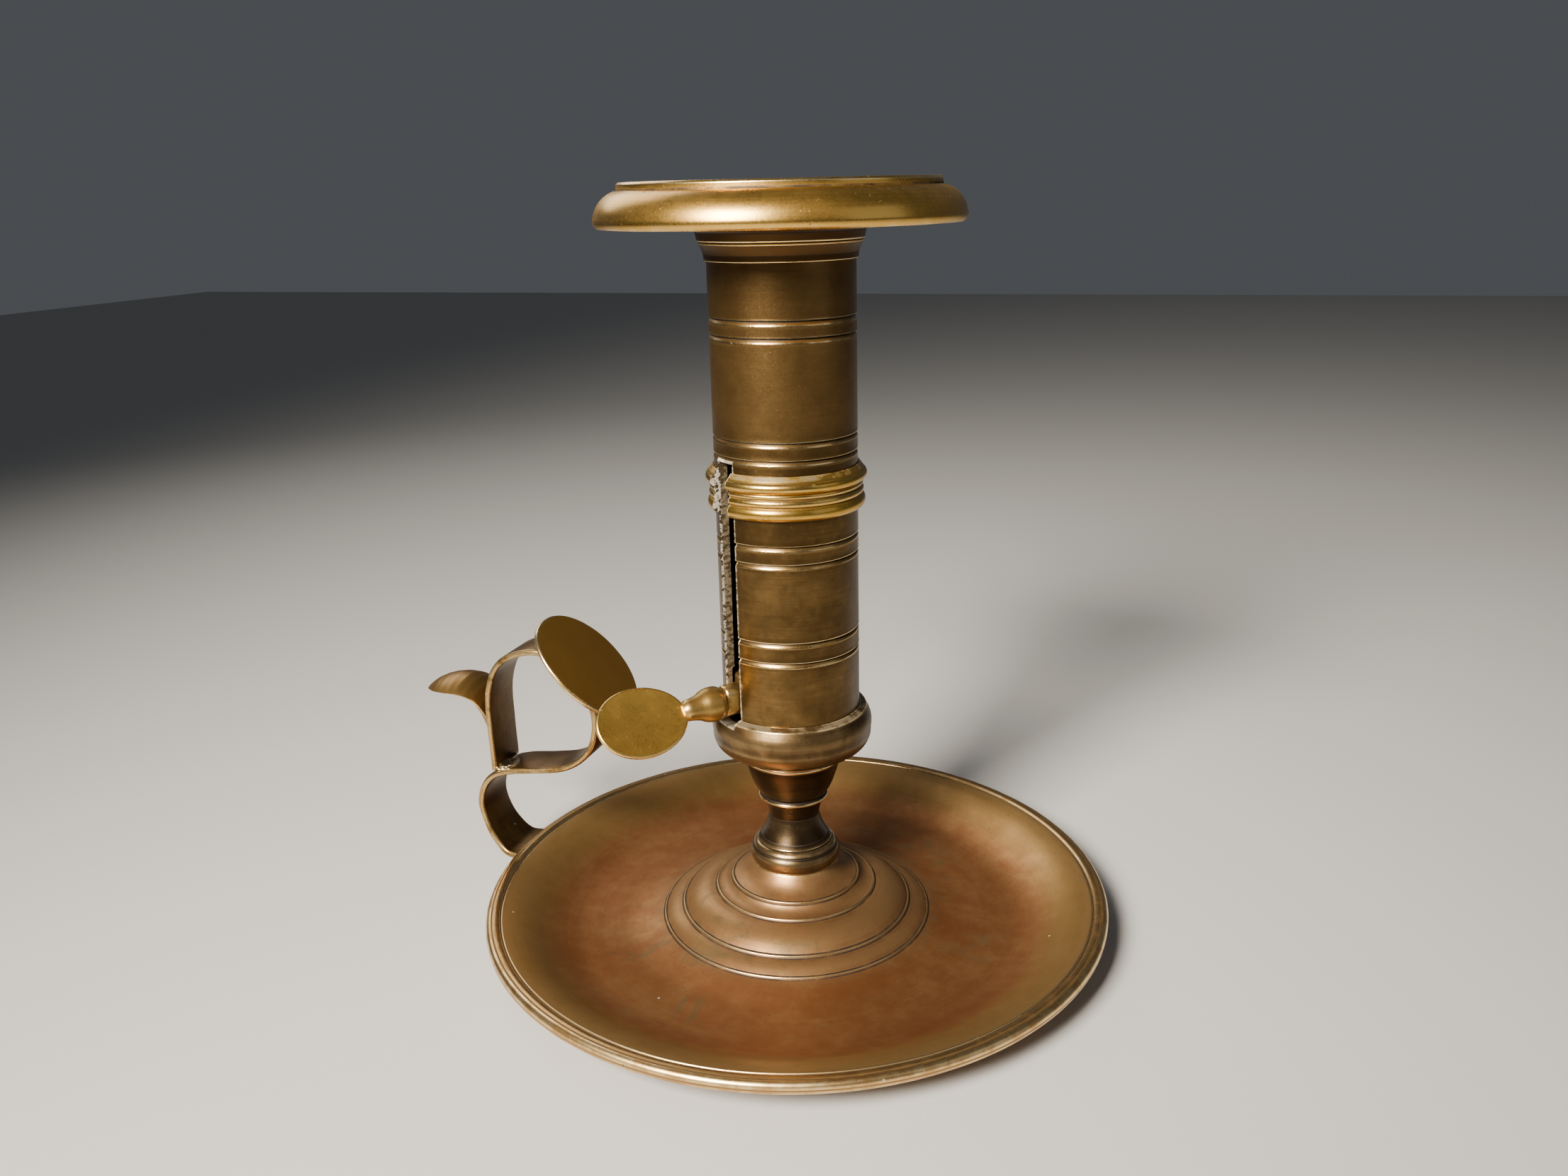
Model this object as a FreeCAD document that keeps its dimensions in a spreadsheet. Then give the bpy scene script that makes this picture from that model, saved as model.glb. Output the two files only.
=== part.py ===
import FreeCAD, Part
import Sketcher
import math
import os
from FreeCAD import Matrix, Placement, Rotation, Vector

os.makedirs("parts", exist_ok=True)
doc = FreeCAD.newDocument("brass_candlestick")

# ---------------------------------------------------------------- driving sizes
# Lengths in millimetres, angles in degrees.  +Z is up, the column stands on the
# Z axis, the table is at zero height and the handle points along -X.
SIZES = [
    ("pan_radius", 61.0, "outside radius of the drip pan"),
    ("pan_rim_height", 8.3, "top of the pan's rolled rim"),
    ("pan_sheet", 2.0, "thickness of the pan's floor"),
    ("dome_height", 14.2, "top of the raised centre of the pan"),
    ("tenon_radius", 3.5, "threaded tenon of the stem"),
    ("tenon_bottom", 6.2, "lower end of the tenon"),
    ("neck_radius", 4.88, "thinnest part of the stem"),
    ("stem_top", 37.0, "top of the baluster stem"),
    ("cup_radius", 15.2, "widest part of the socket cup"),
    ("cup_top", 47.4, "top of the socket cup's ledge"),
    ("cup_floor", 42.5, "seat of the column tube inside the cup"),
    ("column_radius", 13.0, "outside radius of the column tube"),
    ("bore_radius", 11.2, "candle bore of the column tube"),
    ("relief_radius", 11.7, "wider bore round the parked piston"),
    ("relief_top", 56.5, "upper end of the wider bore"),
    ("column_top", 140.0, "upper end of the column tube"),
    ("line_depth", 0.4, "depth of the turned lines on the column"),
    ("line_width", 0.8, "width of the turned lines on the column"),
    ("slot_width", 4.7, "width of the ejector slot"),
    ("slot_bottom", 46.2, "lower end of the ejector slot"),
    ("slot_top", 95.5, "upper end of the ejector slot"),
    ("slot_angle", 232.0, "direction of the ejector slot round the column"),
    ("band_radius", 14.7, "widest part of the middle band"),
    ("band_bottom", 86.2, "lower edge of the middle band"),
    ("band_top", 94.0, "upper edge of the middle band"),
    ("flange_radius", 32.0, "widest part of the nozzle flange"),
    ("flange_bottom", 135.3, "underside of the nozzle flange"),
    ("flange_top", 142.7, "top of the nozzle flange's rim"),
    ("piston_radius", 11.12, "ejector piston, a running fit in the bore"),
    ("lever_height", 51.0, "height of the ejector lever at rest"),
    ("block_width", 4.1, "width of the lever block in the slot"),
    ("block_height", 5.7, "height of the lever block in the slot"),
    ("shank_radius", 1.6, "lever shank through the piston wall"),
    ("knob_radius", 3.25, "pear-shaped knob on the lever"),
    ("paddle_start", 22.9, "inner end of the thumb paddle"),
    ("paddle_length", 17.7, "length of the thumb paddle"),
    ("paddle_width", 13.4, "width of the thumb paddle"),
    ("paddle_thickness", 1.0, "thickness of the thumb paddle"),
    ("paddle_tilt", 42.0, "lean of the paddle's face above the horizontal"),
    ("strap_width", 9.8, "width of the handle strap"),
    ("strap_thickness", 1.3, "thickness of the handle strap"),
    ("ring_front", 40.3, "finger ring's distance from the axis, column side"),
    ("ring_back", 64.5, "finger ring's distance from the axis, outer side"),
    ("ring_low", 27.6, "lowest bar of the finger ring"),
    ("ring_high", 53.6, "top of the finger ring"),
    ("belly_reach", 68.4, "outermost point of the strap below the ring"),
    ("plate_reach", 43.1, "centre of the thumb plate from the axis"),
    ("plate_height", 50.2, "height of the thumb plate's centre"),
    ("plate_length", 25.6, "length of the thumb plate up its slope"),
    ("plate_width", 22.6, "width of the thumb plate"),
    ("plate_thickness", 0.95, "thickness of the thumb plate"),
    ("plate_slope", 46.0, "slope of the thumb plate"),
    ("leaf_tip", 80.9, "tip of the finger rest from the axis"),
    ("leaf_height", 42.0, "height of the finger rest's tip"),
    ("leaf_width", 13.2, "width of the finger rest"),
    ("leaf_crown", 3.8, "crown of the finger rest above its tip"),
    ("nut_across", 11.0, "nut below the pan, across its flats"),
    ("nut_height", 3.6, "height of the nut"),
    ("washer_radius", 7.6, "washer between the pan and the nut"),
    ("washer_height", 1.0, "thickness of the washer"),
]

sheet = doc.addObject("Spreadsheet::Sheet", "Dims")
for row, (alias, value, meaning) in enumerate(SIZES, start=1):
    sheet.set("A%d" % row, alias)
    sheet.set("B%d" % row, str(value))
    sheet.set("C%d" % row, meaning)
    sheet.setAlias("B%d" % row, alias)
doc.recompute()


class Size:
    """A length with both its expression on the sheet and its present value."""

    def __init__(self, text, value):
        self.text = text
        self.value = value

    def __add__(self, other):
        return Size("%s + %s" % (self.text, written(other)), self.value + number(other))

    def __sub__(self, other):
        return Size("%s - (%s)" % (self.text, written(other)), self.value - number(other))

    def __mul__(self, factor):
        return Size("(%s) * %s" % (self.text, written(factor)), self.value * number(factor))

    def __neg__(self):
        return Size("-(%s)" % self.text, -self.value)


def number(item):
    return item.value if isinstance(item, Size) else float(item)


def written(item):
    return item.text if isinstance(item, Size) else repr(float(item))


def size(alias):
    return Size("Dims." + alias, float(sheet.get(alias)))


# ---------------------------------------------------------------- building tools
def new_body(label, placement=None):
    body = doc.addObject("PartDesign::Body", label)
    body.Label = label
    if placement is not None:
        body.Placement = placement
    return body


def new_sketch(body, name, role, offset=None):
    sketch = body.newObject("Sketcher::SketchObject", name)
    origin_plane = [item for item in body.Origin.OriginFeatures if item.Role == role][0]
    sketch.AttachmentSupport = (origin_plane, [""])
    sketch.MapMode = "FlatFace"
    if offset is not None:
        sketch.AttachmentOffset = Placement(Vector(0, 0, offset), Rotation())
    return sketch


def pin_point(sketch, edge, end, x, y):
    """Hold one end of an edge at (x, y), by expression where the value has one."""
    for kind, axis, item in (("DistanceX", -2, x), ("DistanceY", -1, y)):
        value = number(item)
        if abs(value) < 1e-9:
            sketch.addConstraint(Sketcher.Constraint("PointOnObject", edge, end, axis))
            continue
        index = sketch.addConstraint(Sketcher.Constraint(kind, edge, end, value))
        if isinstance(item, Size):
            sketch.setExpression("Constraints[%d]" % index, item.text)


def draw(sketch, corners):
    """Closed outline.  A corner is (x, y) or (x, y, bulge); bulge is the height of
    the arc that runs to the next corner, positive on the left of that way."""
    edges = []
    count = len(corners)
    for i in range(count):
        here, there = corners[i], corners[(i + 1) % count]
        a = Vector(number(here[0]), number(here[1]), 0)
        b = Vector(number(there[0]), number(there[1]), 0)
        bulge = here[2] if len(here) > 2 else 0.0
        if bulge:
            chord = b - a
            left = Vector(-chord.y, chord.x, 0).normalize()
            radius = (chord.Length ** 2 / 4 + bulge ** 2) / (2 * abs(bulge))
            inset = radius - abs(bulge)
            centre = (a + b) * 0.5 - left * math.copysign(inset, bulge)
            # arcs in a sketch run anticlockwise, so some are drawn from b back to a
            first, last = (a, b) if bulge < 0 else (b, a)
            turns = [math.atan2(p.y - centre.y, p.x - centre.x) for p in (first, last)]
            if turns[1] < turns[0]:
                turns[1] += 2 * math.pi
            circle = Part.Circle(centre, Vector(0, 0, 1), radius)
            edge = sketch.addGeometry(Part.ArcOfCircle(circle, turns[0], turns[1]), False)
            ends = (1, 2) if bulge < 0 else (2, 1)
            if abs(chord.x) > abs(chord.y):
                held = ("DistanceY", centre.y, here[1] + (centre.y - a.y))
            else:
                held = ("DistanceX", centre.x, here[0] + (centre.x - a.x))
            index = sketch.addConstraint(Sketcher.Constraint(held[0], edge, 3, held[1]))
            if isinstance(held[2], Size):
                sketch.setExpression("Constraints[%d]" % index, held[2].text)
        else:
            edge = sketch.addGeometry(Part.LineSegment(a, b), False)
            ends = (1, 2)
        edges.append((edge, ends))
    for i in range(count):
        edge, ends = edges[i]
        following, following_ends = edges[(i + 1) % count]
        sketch.addConstraint(
            Sketcher.Constraint("Coincident", edge, ends[1], following, following_ends[0]))
    for (edge, ends), corner in zip(edges, corners):
        pin_point(sketch, edge, ends[0], corner[0], corner[1])
    return sketch


def rectangle(sketch, left, right, low, high):
    return draw(sketch, [(left, low), (right, low), (right, high), (left, high)])


def turned(body, name, corners):
    """Revolve an outline of (radius, height) corners about the Z axis."""
    sketch = draw(new_sketch(body, name + "_profile", "XZ_Plane"), corners)
    turn = body.newObject("PartDesign::Revolution", name + "_turned")
    turn.Profile = sketch
    turn.ReferenceAxis = (sketch, ["V_Axis"])
    turn.Angle = 360.0
    doc.recompute()
    return turn


def padded(body, name, sketch, length, both_ways=True):
    pad = body.newObject("PartDesign::Pad", name)
    pad.Profile = sketch
    pad.Length = number(length)
    if isinstance(length, Size):
        pad.setExpression("Length", length.text)
    pad.Midplane = both_ways
    doc.recompute()
    return pad


def cut_towards_x(body, name, sketch, depth):
    """Pocket from a sketch on the YZ plane out along the body's own +X."""
    before = body.Shape.Volume
    pocket = body.newObject("PartDesign::Pocket", name)
    pocket.Profile = sketch
    pocket.Length = depth
    pocket.Reversed = True
    doc.recompute()
    if not body.Shape.Volume < before - 1e-3:
        raise RuntimeError(name + " removed nothing")
    return pocket


# ---------------------------------------------------------------- drip pan
pan_r = size("pan_radius")
rim_z = size("pan_rim_height")
floor = size("pan_sheet")
dome_z = size("dome_height")
tenon_r = size("tenon_radius")

drip_pan = new_body("drip_pan")
turned(drip_pan, "pan", [
    # raised centre, seen from above, with its turned rings
    (tenon_r + 0.15, dome_z), (8.1, dome_z, -0.55), (12.2, dome_z - 3.2),
    (12.6, dome_z - 3.15), (12.75, dome_z - 3.7, -0.35), (15.3, dome_z - 5.0),
    (15.7, dome_z - 4.95), (15.9, dome_z - 5.45, 0.75), (22.1, dome_z - 8.4),
    (22.5, dome_z - 8.35), (22.7, dome_z - 8.85, 0.25), (26.0, dome_z - 10.4),
    (26.3, dome_z - 10.35), (26.5, dome_z - 10.8, -0.55),
    # well, wall, brim and rolled rim
    (36.0, floor), (42.5, floor, -0.6), (pan_r - 10.0, rim_z - 3.1, 0.45),
    (pan_r - 3.0, rim_z - 0.25), (pan_r - 2.85, rim_z - 0.55),
    (pan_r - 2.65, rim_z - 0.25, 0.2), (pan_r - 1.2, rim_z, 0.45), (pan_r, rim_z - 1.3, 0.4),
    (pan_r - 1.3, rim_z - 2.5),
    # underside
    (pan_r - 3.0, rim_z - 2.3), (pan_r - 7.3, rim_z - 3.0, 1.2), (46.5, 0.0), (37.0, 0.0, 0.4),
    (27.0, floor - 0.5), (22.0, dome_z - 10.3), (15.6, dome_z - 7.0), (12.2, dome_z - 5.2),
    (9.6, dome_z - 1.9), (tenon_r + 0.15, dome_z - 1.9),
])

# ---------------------------------------------------------------- stem and its fixing
stem_z = size("stem_top")
neck = size("neck_radius")
stem = new_body("baluster_stem")
turned(stem, "stem", [
    (0.0, size("tenon_bottom")), (tenon_r - 0.5, size("tenon_bottom")),
    (tenon_r, size("tenon_bottom") + 0.5), (tenon_r, dome_z),
    (8.0, dome_z, -0.75), (8.2, 17.6, -0.12), (7.45, 18.6), (7.1, 18.75), (7.35, 19.0),
    (6.6, 19.75, 0.22), (neck, 24.2, 0.1), (5.65, 27.1), (5.85, 27.65), (6.5, 27.8, -0.2),
    (6.6, 28.5), (6.3, 28.75, -0.2), (8.1, 32.2, -0.06), (9.15, 35.9), (9.55, 36.2, -0.15),
    (9.55, stem_z), (4.5, stem_z), (4.5, stem_z + 5.4), (0.0, stem_z + 5.4),
])

washer_h = size("washer_height")
washer_top = dome_z - 1.9
washer = new_body("stem_washer")
rectangle_corners = [
    (tenon_r + 0.3, washer_top - washer_h), (size("washer_radius"), washer_top - washer_h),
    (size("washer_radius"), washer_top), (tenon_r + 0.3, washer_top),
]
turned(washer, "washer", rectangle_corners)

nut_top = washer_top - washer_h
nut = new_body("stem_nut")
nut_sketch = new_sketch(nut, "nut_outline", "XY_Plane")
nut_corner = size("nut_across") * (1.0 / math.sqrt(3.0))
draw(nut_sketch, [(nut_corner * math.cos(math.radians(60 * k)),
                   nut_corner * math.sin(math.radians(60 * k))) for k in range(6)])
hole = nut_sketch.addGeometry(Part.Circle(Vector(0, 0, 0), Vector(0, 0, 1), tenon_r.value), False)
nut_sketch.addConstraint(Sketcher.Constraint("Coincident", hole, 3, -1, 1))
hole_radius = nut_sketch.addConstraint(Sketcher.Constraint("Radius", hole, tenon_r.value))
nut_sketch.setExpression("Constraints[%d]" % hole_radius, tenon_r.text)
padded(nut, "nut_body", nut_sketch, size("nut_height"), both_ways=False)
nut.Placement = Placement(Vector(0, 0, nut_top.value - number(size("nut_height"))), Rotation())
nut.setExpression("Placement.Base.z", (nut_top - size("nut_height")).text)

# ---------------------------------------------------------------- socket cup
cup_r = size("cup_radius")
cup_z = size("cup_top")
cup_floor = size("cup_floor")
column_r = size("column_radius")
turn_to_slot = Placement(Vector(0, 0, 0), Rotation(Vector(0, 0, 1), number(size("slot_angle"))))
slot_half = size("slot_width") * 0.5
slot_low = size("slot_bottom")
slot_high = size("slot_top")
cup = new_body("socket_cup", turn_to_slot)
turned(cup, "cup", [
    (4.5, stem_z), (9.9, stem_z), (10.0, 37.9), (13.0, 38.8, -0.75),
    (cup_r, 42.5, -0.4), (14.6, 46.2), (14.3, cup_z - 0.55), (column_r + 0.2, cup_z),
    (column_r, cup_z), (column_r, cup_floor), (4.5, cup_floor),
])
# the slot was sawn after the tube was fitted, so it nicks the cup's ledge too
nick = new_sketch(cup, "ledge_nick", "YZ_Plane")
rectangle(nick, -slot_half, slot_half, slot_low, cup_z + 2.0)
cut_towards_x(cup, "slot_nick", nick, 20.0)

# ---------------------------------------------------------------- column tube
bore_r = size("bore_radius")
top_z = size("column_top")
depth = size("line_depth")
width = size("line_width")
LINE_HEIGHTS = [59.45, 63.2, 77.8, 81.1, 96.3, 99.4, 117.0, 119.9]

tube = new_body("column_tube", turn_to_slot)
wall = [(column_r, cup_floor)]
for line_z in LINE_HEIGHTS:
    wall.append((column_r, line_z - number(width) / 2))
    wall.append((column_r - depth, line_z + number(width) / 4))
    wall.append((column_r, line_z + number(width) / 2))
wall += [(column_r, top_z), (bore_r + 0.5, top_z), (bore_r, top_z - 0.5),
         (bore_r, size("relief_top")), (size("relief_radius"), size("relief_top") - 0.5),
         (size("relief_radius"), cup_floor)]
turned(tube, "tube", wall)

slot_sketch = new_sketch(tube, "slot_outline", "YZ_Plane")
rectangle(slot_sketch, -slot_half, slot_half, slot_low, slot_high)
cut_towards_x(tube, "slot", slot_sketch, 20.0)

# ---------------------------------------------------------------- middle band
band_r = size("band_radius")
band_low = size("band_bottom")
band_high = size("band_top")
band = new_body("mid_band", turn_to_slot)
turned(band, "band", [
    (column_r, band_low), (column_r + 0.9, band_low, -0.45), (column_r + 0.9, band_low + 2.15),
    (column_r + 0.75, band_low + 2.35, -0.3), (column_r + 0.75, band_low + 3.6),
    (column_r + 0.7, band_low + 3.8, -0.25), (column_r + 0.7, band_low + 4.7),
    (band_r - 0.5, band_low + 4.9, -0.5), (band_r - 0.5, band_high - 1.15),
    (column_r + 0.35, band_high), (column_r, band_high),
])
band_cut = new_sketch(band, "band_cut", "YZ_Plane")
rectangle(band_cut, -slot_half, slot_half, band_low - 2.0, band_high + 2.0)
cut_towards_x(band, "band_gap", band_cut, 20.0)

# ---------------------------------------------------------------- nozzle flange
flange_r = size("flange_radius")
flange_low = size("flange_bottom")
flange_high = size("flange_top")
flange = new_body("nozzle_flange")
turned(flange, "flange", [
    (column_r, 129.55), (column_r + 0.35, 129.55), (column_r + 0.45, 130.6, 0.08),
    (14.3, 132.45), (14.15, 132.7), (14.45, 132.85), (14.75, 134.3, 0.15), (16.2, flange_low + 0.1),
    (flange_r - 1.4, flange_low), (flange_r - 0.8, flange_low - 0.1, -0.3),
    (flange_r, flange_low + 1.5, -0.95), (flange_r - 4.0, flange_low + 6.0),
    (flange_r - 4.3, flange_low + 5.95), (flange_r - 4.35, flange_high - 0.35, -0.1),
    (flange_r - 4.7, flange_high), (flange_r - 5.4, flange_high),
    (flange_r - 6.0, flange_high - 1.3, 0.25), (15.0, top_z - 0.2), (column_r, top_z - 0.2),
])

# ---------------------------------------------------------------- ejector piston
lever_z = size("lever_height")
piston_r = size("piston_radius")
piston = new_body("ejector_piston", turn_to_slot)
# drawn on the far side of the axis, so that its seam is clear of the shank hole
turned(piston, "piston", [
    (0.0, lever_z + 2.1), (-piston_r + 1.6, lever_z + 2.1), (-piston_r + 1.6, lever_z - 5.0),
    (-piston_r + 0.3, lever_z - 5.0), (-piston_r, lever_z - 4.7), (-piston_r, lever_z + 3.3),
    (-piston_r + 0.4, lever_z + 3.7), (-piston_r + 2.0, lever_z + 3.7),
    (-piston_r + 2.6, lever_z + 3.1), (0.0, lever_z + 3.1),
])
shank_r = size("shank_radius")
shank_hole = new_sketch(piston, "shank_hole", "YZ_Plane")
round_hole = shank_hole.addGeometry(
    Part.Circle(Vector(0, lever_z.value, 0), Vector(0, 0, 1), shank_r.value), False)
shank_hole.addConstraint(Sketcher.Constraint("PointOnObject", round_hole, 3, -2))
hole_z = shank_hole.addConstraint(
    Sketcher.Constraint("DistanceY", round_hole, 3, lever_z.value))
shank_hole.setExpression("Constraints[%d]" % hole_z, lever_z.text)
hole_r = shank_hole.addConstraint(Sketcher.Constraint("Radius", round_hole, shank_r.value))
shank_hole.setExpression("Constraints[%d]" % hole_r, shank_r.text)
cut_towards_x(piston, "shank_bore", shank_hole, 20.0)

# ---------------------------------------------------------------- ejector lever
# Its own X axis runs out through the slot; the body is then turned and lifted.
lever_place = Placement(Vector(0, 0, lever_z.value), turn_to_slot.Rotation)
pin = new_body("ejector_pin", lever_place)
pin.setExpression("Placement.Base.z", lever_z.text)
knob_r = size("knob_radius")
paddle_start = size("paddle_start")
pin_sketch = draw(new_sketch(pin, "pin_profile", "XZ_Plane"), [
    (7.4, 0.0), (7.4, shank_r * 0.75), (7.9, shank_r), (14.6, shank_r), (14.6, 2.35),
    (15.4, 2.35, 0.3), (17.3, knob_r, 0.25), (20.1, 2.55, -0.1), (paddle_start, 1.9),
    (paddle_start, 0.0),
])
pin_turned = pin.newObject("PartDesign::Revolution", "pin_turned")
pin_turned.Profile = pin_sketch
pin_turned.ReferenceAxis = (pin_sketch, ["H_Axis"])
pin_turned.Angle = 360.0
doc.recompute()
block_half = size("block_height") * 0.5
block_side = size("block_width") * 0.5
block_sketch = draw(new_sketch(pin, "block_outline", "YZ_Plane", offset=11.3), [
    (-block_side, -block_half + 1.2, -1.2), (block_side, -block_half + 1.2),
    (block_side, block_half - 1.2, -1.2), (-block_side, block_half - 1.2),
])
padded(pin, "block", block_sketch, 3.9, both_ways=False)

# ---------------------------------------------------------------- thumb paddle
slot_rad = math.radians(number(size("slot_angle")))
tilt = math.radians(number(size("paddle_tilt")))
along = Vector(math.cos(slot_rad), math.sin(slot_rad), 0)
side = Vector(-math.sin(slot_rad), math.cos(slot_rad), 0)
face = side * math.cos(tilt) + Vector(0, 0, 1) * math.sin(tilt)
across = face.cross(along)


def frame_of(x_axis, y_axis, z_axis, origin):
    return Placement(Matrix(x_axis.x, y_axis.x, z_axis.x, origin.x,
                            x_axis.y, y_axis.y, z_axis.y, origin.y,
                            x_axis.z, y_axis.z, z_axis.z, origin.z,
                            0, 0, 0, 1))


def smooth_outline(sketch, points):
    """One closed curve through the points, drawn in the sketch."""
    curve = Part.BSplineCurve()
    curve.interpolate(Points=[Vector(x, y, 0) for x, y in points], PeriodicFlag=True)
    sketch.addGeometry(curve, False)
    return sketch


paddle = new_body("thumb_paddle", frame_of(along, across, face, Vector(0, 0, lever_z.value)))
paddle.setExpression("Placement.Base.z", lever_z.text)
length = number(size("paddle_length"))
half = number(size("paddle_width")) / 2
start = number(paddle_start)
paddle_points = []
for step in range(24):
    turn_angle = 2 * math.pi * step / 24
    fullness = math.sin(turn_angle) * (1 + 0.05 * math.cos(turn_angle))
    reach = start + length / 2 + length / 2 * math.cos(turn_angle)
    paddle_points.append((reach, half * fullness))
paddle_sketch = smooth_outline(new_sketch(paddle, "paddle_outline", "XY_Plane"), paddle_points)
padded(paddle, "paddle_plate", paddle_sketch, size("paddle_thickness"))

# ---------------------------------------------------------------- handle strap
front, back = size("ring_front").value, size("ring_back").value
low, high = size("ring_low").value, size("ring_high").value
reach = size("belly_reach").value
strap = new_body("handle_strap")
path_points = [
    (pan_r.value - 1.5, 7.45), (pan_r.value + 2.0, 7.9), (reach - 2.5, 10.9), (reach - 0.8, 14.4),
    (reach, 18.4), (reach - 1.1, 22.3), (reach - 3.6, 25.1), (reach - 7.9, low - 1.0),
    (54.0, low), (48.6, low + 1.1), (front + 4.3, low + 3.2), (front + 1.5, low + 6.2),
    (front + 0.2, low + 9.8), (front, 41.2), (front + 1.1, 45.6), (front + 3.7, 49.4),
    (front + 7.2, high - 1.2), (front + 10.9, high), (55.0, high - 0.2), (back - 5.1, high - 1.9),
    (back - 2.2, high - 4.8), (back - 0.6, high - 8.8), (back, high - 13.0), (back, 35.0),
    (back - 0.1, 29.0),
]
spine = new_sketch(strap, "strap_path", "XZ_Plane")
spine_curve = Part.BSplineCurve()
spine_curve.interpolate([Vector(-r, z, 0) for r, z in path_points])
spine.addGeometry(spine_curve, False)
section = new_sketch(strap, "strap_section", "YZ_Plane", offset=-path_points[0][0])
strap_half = size("strap_width") * 0.5
strap_t = size("strap_thickness")
rectangle(section, -strap_half, strap_half, Size("7.45", 7.45) - strap_t * 0.5,
          Size("7.45", 7.45) + strap_t * 0.5)
doc.recompute()
sweep = strap.newObject("PartDesign::AdditivePipe", "strap_bent")
sweep.Profile = section
sweep.Spine = (spine, ["Edge1"])
doc.recompute()
# the free end of the strip stands on the lower bar and is soldered there
foot = new_sketch(strap, "solder_foot", "XZ_Plane")
draw(foot, [(-size("ring_back") - 0.6, 25.0), (-size("ring_back") + 1.9, 25.7),
            (-size("ring_back") + 0.7, 29.4), (-size("ring_back") - 0.55, 29.4)])
padded(strap, "strap_joint", foot, size("strap_width"))

# ---------------------------------------------------------------- thumb plate
slope = math.radians(number(size("plate_slope")))
uphill = Vector(-math.cos(slope), 0, math.sin(slope))
level = Vector(0, -1, 0)
plate_centre = Vector(-number(size("plate_reach")), 0, number(size("plate_height")))
plate = new_body("thumb_plate", frame_of(uphill, level, uphill.cross(level), plate_centre))
plate.setExpression("Placement.Base.x", (-size("plate_reach")).text)
plate.setExpression("Placement.Base.z", size("plate_height").text)
plate_points = []
for step in range(24):
    turn_angle = 2 * math.pi * step / 24
    long, wide = math.cos(turn_angle), math.sin(turn_angle)
    if long > 0 and wide > 0:  # the upper corner on this side is cut fuller
        long, wide = long ** 0.87, wide ** 0.87
    plate_points.append((number(size("plate_length")) / 2 * long,
                         number(size("plate_width")) / 2 * wide))
plate_sketch = smooth_outline(new_sketch(plate, "plate_outline", "XY_Plane"), plate_points)
padded(plate, "plate_sheet", plate_sketch, size("plate_thickness"))

# ---------------------------------------------------------------- finger rest
leaf = new_body("finger_leaf")
tip, tip_z = size("leaf_tip"), size("leaf_height")
crown = tip_z + size("leaf_crown")
leaf_root = -(size("ring_back") + 0.65)
leaf_side = new_sketch(leaf, "leaf_side", "XZ_Plane")
draw(leaf_side, [
    (leaf_root, 32.5), (leaf_root - 0.8, 35.6), (-67.4, 39.2), (-70.0, 41.6), (-75.0, 42.4),
    (-tip, tip_z - 0.35), (-tip, tip_z + 0.3), (-78.4, tip_z + 2.2), (-74.0, crown),
    (-71.0, crown), (-68.4, tip_z + 2.5), (-66.6, tip_z - 0.4), (leaf_root, tip_z - 3.4),
])
padded(leaf, "leaf_block", leaf_side, size("leaf_width"))
leaf_half = size("leaf_width") * 0.5


def trimmed_through(body, name, sketch):
    before = body.Shape.Volume
    cut = body.newObject("PartDesign::Pocket", name)
    cut.Profile = sketch
    cut.Type = "ThroughAll"
    cut.Midplane = True
    doc.recompute()
    if not body.Shape.Volume < before - 1e-3:
        raise RuntimeError(name + " removed nothing")


# crowned across its width
crown_cut = draw(new_sketch(leaf, "leaf_crowning", "YZ_Plane"), [
    (-20.0, crown - 2.3), (-leaf_half, crown - 2.3, 2.3), (leaf_half, crown - 2.3),
    (20.0, crown - 2.3), (20.0, 70.0), (-20.0, 70.0),
])
trimmed_through(leaf, "leaf_crowned", crown_cut)
# pointed in plan
trim = new_sketch(leaf, "leaf_trim", "XY_Plane")
draw(trim, [(-60.0, -20.0), (-60.0, 20.0), (-95.0, 20.0), (-95.0, -20.0)])
draw(trim, [
    (-64.0, -5.1), (-66.0, -5.1, 0.2), (-72.4, -leaf_half, 1.3), (-tip, -0.3), (-tip, 0.3, 1.3),
    (-72.4, leaf_half, 0.2), (-66.0, 5.1), (-64.0, 5.1),
])
trimmed_through(leaf, "leaf_trimmed", trim)

# ---------------------------------------------------------------- checks and files
doc.recompute()
bodies = [drip_pan, stem, washer, nut, cup, tube, band, flange, piston, pin, paddle, strap,
          plate, leaf]
for item in doc.Objects:
    if "Invalid" in item.State or "Error" in item.State:
        raise RuntimeError("%s is %s" % (item.Name, item.State))
for body in bodies:
    shape = body.Shape
    if shape.isNull() or not shape.isValid() or shape.Volume <= 0:
        raise RuntimeError(body.Label + " has no valid shape")
    if len(shape.Solids) != 1:
        raise RuntimeError("%s is %d solids" % (body.Label, len(shape.Solids)))
    shape.exportStep("parts/%s.step" % body.Label)
    box = shape.optimalBoundingBox(False)
    print("%-15s %8.1f mm3  X %.2f..%.2f Y %.2f..%.2f Z %.2f..%.2f" % (
        body.Label, shape.Volume, box.XMin, box.XMax, box.YMin, box.YMax, box.ZMin, box.ZMax))
print("wrote", len(bodies), "parts")
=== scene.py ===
import math

import bmesh
import bpy
import numpy as np
from mathutils import Matrix, Vector, noise


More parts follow.
